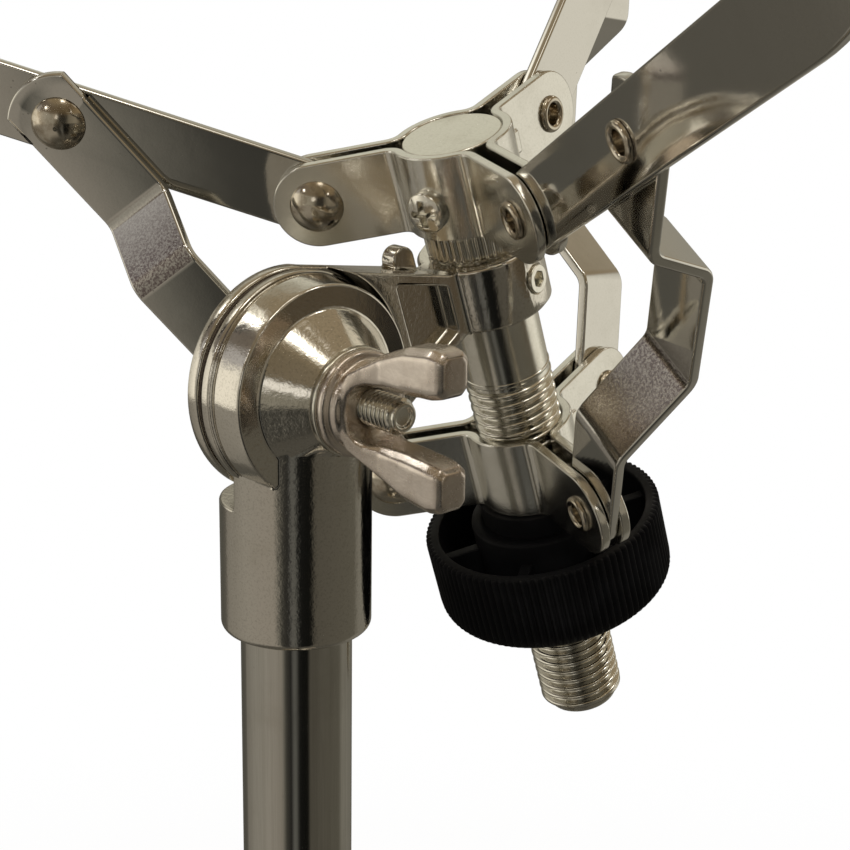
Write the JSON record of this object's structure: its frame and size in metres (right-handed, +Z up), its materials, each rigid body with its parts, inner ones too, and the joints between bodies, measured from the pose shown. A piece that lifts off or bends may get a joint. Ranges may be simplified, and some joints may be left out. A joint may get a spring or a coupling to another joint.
{
  "type": "snare drum stand",
  "caption": "Folding tripod stand with a height tube, friction tilter and screw-closed basket whose hooked arms grip a small drum.",
  "frame": {"origin": "on the floor, under the height tube's axis", "axes": "+Z up along the tube, +X towards the basket rod, -Y towards the tilter's wing nut"},
  "size_m": [0.3697, 0.423, 0.7047],
  "materials": {
    "chrome_tube": "polished chrome plate on steel tube",
    "chrome_casting": "chrome plate on a die casting, slightly uneven",
    "chrome_strip": "chrome plate on strip steel",
    "nickel_rivet": "nickel-plated rivet, worn warm",
    "nickel_casting": "dull nickel plate on a casting",
    "bright_steel": "bright plated screw steel",
    "black_plastic": "black moulded plastic, fine grain",
    "black_rubber": "black rubber, matt",
    "grey_nylon": "dark nylon",
    "dark_fibre": "pressed fibre"
  },
  "bodies": {
    "base": {"base_tube": "chrome_tube", "base_plug": "black_rubber", "tripod_hub": "chrome_casting", "hub_pin": "bright_steel", "height_collar": "chrome_casting"},
    "tripod_slider": {"tripod_collar": "chrome_casting", "leg_pivot_rivets": "nickel_rivet"},
    "tripod_screw": {"tripod_bolt": "nickel_casting"},
    "height_screw": {"height_bolt": "nickel_casting"},
    "swivel_bush": {"guide_bush": "grey_nylon"},
    "mast": {"upper_tube": "chrome_tube", "tube_plug": "grey_nylon", "tilter_base": "chrome_casting", "friction_washer": "dark_fibre", "tilter_bolt": "bright_steel", "nut_washer": "bright_steel"},
    "tilter_nut": {"wing_nut": "nickel_casting"},
    "basket": {"tilter_arm": "chrome_casting", "collar_screw": "bright_steel", "basket_rod": "bright_steel", "hub_screw": "bright_steel", "upper_hub_plate_1": "chrome_strip", "upper_hub_plate_2": "chrome_strip", "upper_hub_plate_3": "chrome_strip", "upper_hub_rivets": "nickel_rivet"},
    "grip_hub": {"lower_hub_plate_1": "chrome_strip", "lower_hub_plate_2": "chrome_strip", "lower_hub_plate_3": "chrome_strip", "lower_hub_rivets": "nickel_rivet"},
    "grip_knob": {"knob": "black_plastic", "knob_insert": "black_plastic"},
    "leg_set_1": {"leg_1": "chrome_strip", "foot_1": "black_rubber", "leg_brace_rivet_1": "nickel_rivet"},
    "brace_set_1": {"brace_1": "chrome_strip", "brace_end_rivet_1": "nickel_rivet"},
    "arm_set_1": {"arm_1": "chrome_strip", "grip_1": "black_rubber", "arm_strut_rivet_1": "nickel_rivet"},
    "strut_set_1": {"strut_1": "chrome_strip"},
    "leg_set_2": {"leg_2": "chrome_strip", "foot_2": "black_rubber", "leg_brace_rivet_2": "nickel_rivet"},
    "brace_set_2": {"brace_2": "chrome_strip", "brace_end_rivet_2": "nickel_rivet"},
    "arm_set_2": {"arm_2": "chrome_strip", "grip_2": "black_rubber", "arm_strut_rivet_2": "nickel_rivet"},
    "strut_set_2": {"strut_2": "chrome_strip"},
    "leg_set_3": {"leg_3": "chrome_strip", "foot_3": "black_rubber", "leg_brace_rivet_3": "nickel_rivet"},
    "brace_set_3": {"brace_3": "chrome_strip", "brace_end_rivet_3": "nickel_rivet"},
    "arm_set_3": {"arm_3": "chrome_strip", "grip_3": "black_rubber", "arm_strut_rivet_3": "nickel_rivet"},
    "strut_set_3": {"strut_3": "chrome_strip"}
  },
  "joints": [
    {"name": "tripod_fold", "type": "slide", "parent": "base", "child": "tripod_slider", "axis": [0, 0, 1], "range_m": [0, 0.03498]},
    {"name": "tripod_screw_turn", "type": "hinge", "parent": "tripod_slider", "child": "tripod_screw", "pos_m": [-0.031, 0, 0.217], "axis": [-1, 0, 0], "continuous": true},
    {"name": "height_screw_turn", "type": "hinge", "parent": "base", "child": "height_screw", "pos_m": [0, -0.031, 0.362], "axis": [0, -1, 0], "continuous": true},
    {"name": "swivel", "type": "hinge", "parent": "base", "child": "swivel_bush", "pos_m": [0, 0, 0.35], "axis": [0, 0, 1], "continuous": true},
    {"name": "height", "type": "slide", "parent": "swivel_bush", "child": "mast", "axis": [0, 0, 1], "range_m": [-0.03, 0.095]},
    {"name": "tilt", "type": "hinge", "parent": "mast", "child": "basket", "pos_m": [0, 0, 0.505], "axis": [0, -1, 0], "range_deg": [-26, 52]},
    {"name": "tilter_nut_turn", "type": "hinge", "parent": "mast", "child": "tilter_nut", "pos_m": [0, -0.02, 0.505], "axis": [0, -1, 0], "continuous": true},
    {"name": "grip_hub_slide", "type": "slide", "parent": "basket", "child": "grip_hub", "axis": [-0.3173, 0, 0.9483], "range_m": [-0.01051, 0.01051]},
    {"name": "grip_knob_turn", "type": "hinge", "parent": "grip_hub", "child": "grip_knob", "pos_m": [0.05464, 0, 0.48163], "axis": [-0.3173, 0, 0.9483], "range_deg": [-1890, 1890]},
    {"name": "leg_fold_1", "type": "hinge", "parent": "tripod_slider", "child": "leg_set_1", "pos_m": [0.027, 0, 0.205], "axis": [0, 1, 0], "range_deg": [0, 38.45]},
    {"name": "brace_fold_1", "type": "hinge", "parent": "leg_set_1", "child": "brace_set_1", "pos_m": [0.06262, 0, 0.16992], "axis": [0, -1, 0], "range_deg": [0, 90.65]},
    {"name": "leg_fold_2", "type": "hinge", "parent": "tripod_slider", "child": "leg_set_2", "pos_m": [-0.0135, 0.02338, 0.205], "axis": [-0.866, -0.5, 0], "range_deg": [0, 38.45]},
    {"name": "brace_fold_2", "type": "hinge", "parent": "leg_set_2", "child": "brace_set_2", "pos_m": [-0.03131, 0.05423, 0.16992], "axis": [0.866, 0.5, 0], "range_deg": [0, 90.65]},
    {"name": "leg_fold_3", "type": "hinge", "parent": "tripod_slider", "child": "leg_set_3", "pos_m": [-0.0135, -0.02338, 0.205], "axis": [0.866, -0.5, 0], "range_deg": [0, 38.45]},
    {"name": "brace_fold_3", "type": "hinge", "parent": "leg_set_3", "child": "brace_set_3", "pos_m": [-0.03131, -0.05423, 0.16992], "axis": [-0.866, 0.5, 0], "range_deg": [0, 90.65]},
    {"name": "arm_rise_1", "type": "hinge", "parent": "basket", "child": "arm_set_1", "pos_m": [0.02044, 0.01888, 0.53029], "axis": [0.7047, 0.6691, 0.2358], "range_deg": [-21.43, 21.43]},
    {"name": "strut_turn_1", "type": "hinge", "parent": "arm_set_1", "child": "strut_set_1", "pos_m": [-0.0123, 0.04849, 0.54409], "axis": [0.7047, 0.6691, 0.2358], "range_deg": [-15.22, 15.22]},
    {"name": "arm_rise_2", "type": "hinge", "parent": "basket", "child": "arm_set_2", "pos_m": [0.02911, -0.02416, 0.53319], "axis": [-0.9019, 0.309, -0.3018], "range_deg": [-21.43, 21.43]},
    {"name": "strut_turn_2", "type": "hinge", "parent": "arm_set_2", "child": "strut_set_2", "pos_m": [0.00998, -0.06206, 0.55155], "axis": [-0.9019, 0.309, -0.3018], "range_deg": [-15.22, 15.22]},
    {"name": "arm_rise_3", "type": "hinge", "parent": "basket", "child": "arm_set_3", "pos_m": [0.06011, 0.00528, 0.54357], "axis": [0.1972, -0.9781, 0.066], "range_deg": [-21.43, 21.43]},
    {"name": "strut_turn_3", "type": "hinge", "parent": "arm_set_3", "child": "strut_set_3", "pos_m": [0.08963, 0.01357, 0.5782], "axis": [0.1972, -0.9781, 0.066], "range_deg": [-15.22, 15.22]}
  ],
  "couplings": [
    {"joint": "grip_hub_slide", "follows": "grip_knob_turn", "m_per_rad": 0.00031831},
    {"joint": "leg_fold_1", "follows": "tripod_fold", "rad_per_m": 19.178},
    {"joint": "brace_fold_1", "follows": "tripod_fold", "rad_per_m": 45.227},
    {"joint": "leg_fold_2", "follows": "tripod_fold", "rad_per_m": 19.178},
    {"joint": "brace_fold_2", "follows": "tripod_fold", "rad_per_m": 45.227},
    {"joint": "leg_fold_3", "follows": "tripod_fold", "rad_per_m": 19.178},
    {"joint": "brace_fold_3", "follows": "tripod_fold", "rad_per_m": 45.227},
    {"joint": "arm_rise_1", "follows": "grip_knob_turn", "ratio": 0.011333},
    {"joint": "strut_turn_1", "follows": "grip_knob_turn", "ratio": -0.0080467},
    {"joint": "arm_rise_2", "follows": "grip_knob_turn", "ratio": 0.011333},
    {"joint": "strut_turn_2", "follows": "grip_knob_turn", "ratio": -0.0080467},
    {"joint": "arm_rise_3", "follows": "grip_knob_turn", "ratio": 0.011333},
    {"joint": "strut_turn_3", "follows": "grip_knob_turn", "ratio": -0.0080467}
  ]
}
